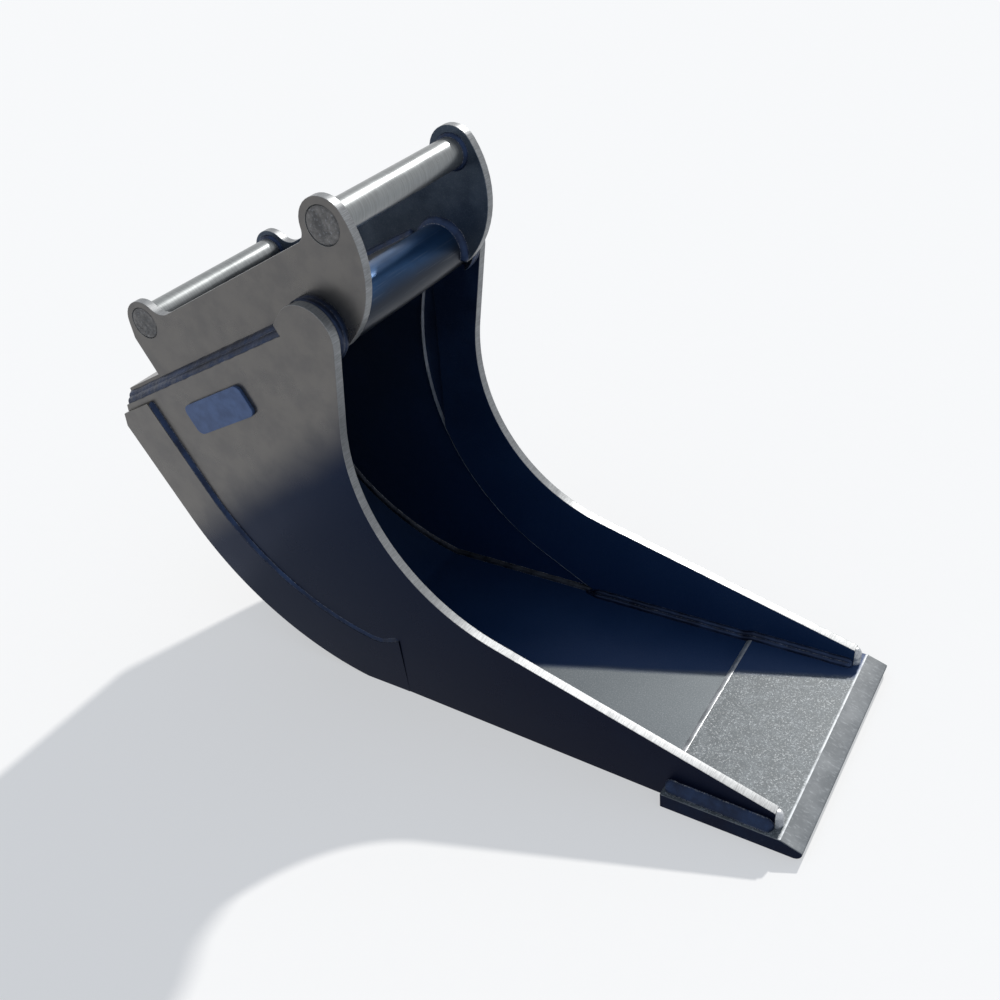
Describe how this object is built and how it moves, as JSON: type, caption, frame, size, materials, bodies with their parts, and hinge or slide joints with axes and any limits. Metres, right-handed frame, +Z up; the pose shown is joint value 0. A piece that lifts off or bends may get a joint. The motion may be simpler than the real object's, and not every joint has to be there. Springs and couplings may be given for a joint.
{
  "type": "cable trenching bucket",
  "caption": "Narrow excavator trenching bucket welded from plate, with a rolled heel, long floor, flat cutting edge and a two-pin hitch.",
  "frame": {"origin": "centre of the footprint on the floor, with the bucket standing on its flat bottom", "axes": "+X towards the cutting edge, +Y to the bucket's left, +Z up"},
  "size_m": [1.1252, 0.39, 0.8013],
  "materials": {
    "outer_plate": "dark mill scale under clear lacquer, glossy",
    "inner_plate": "dark blue mill scale under clear lacquer, satin",
    "tube_steel": "blue mill scale under clear lacquer, glossy",
    "weld_metal": "blue-grey weld beads with ripples",
    "pin_steel": "turned bright steel",
    "edge_steel": "rough, speckled and scratched steel"
  },
  "bodies": {
    "root": {"shell_plate": "inner_plate", "cutting_edge": "edge_steel", "top_plate": "outer_plate", "torque_tube": "tube_steel", "side_plate_left": "outer_plate", "side_plate_right": "outer_plate", "side_cutter_left": "inner_plate", "side_cutter_right": "inner_plate", "heel_strip_left": "outer_plate", "heel_strip_right": "outer_plate", "ear_left": "outer_plate", "ear_right": "outer_plate", "front_pin": "pin_steel", "rear_pin": "pin_steel", "front_pin_plug_welds": "weld_metal", "rear_pin_plug_welds": "weld_metal", "front_pin_ring_welds": "weld_metal", "rear_pin_ring_welds": "weld_metal", "tube_inner_ring_welds": "weld_metal", "tube_nose_welds": "weld_metal", "tube_seat_weld": "weld_metal", "ear_foot_welds": "weld_metal", "top_weld_left": "weld_metal", "top_weld_right": "weld_metal", "rear_top_weld": "weld_metal", "back_corner_weld_left": "weld_metal", "back_corner_weld_right": "weld_metal", "floor_corner_weld_left": "weld_metal", "floor_corner_weld_right": "weld_metal", "cutter_seam_weld_left": "weld_metal", "cutter_seam_weld_right": "weld_metal", "strip_weld_left": "weld_metal", "strip_weld_right": "weld_metal", "edge_side_weld_left": "weld_metal", "edge_side_weld_right": "weld_metal", "front_end_welds": "weld_metal", "floor_edge_weld": "weld_metal", "blank_tag": "outer_plate"}
  },
  "joints": []
}
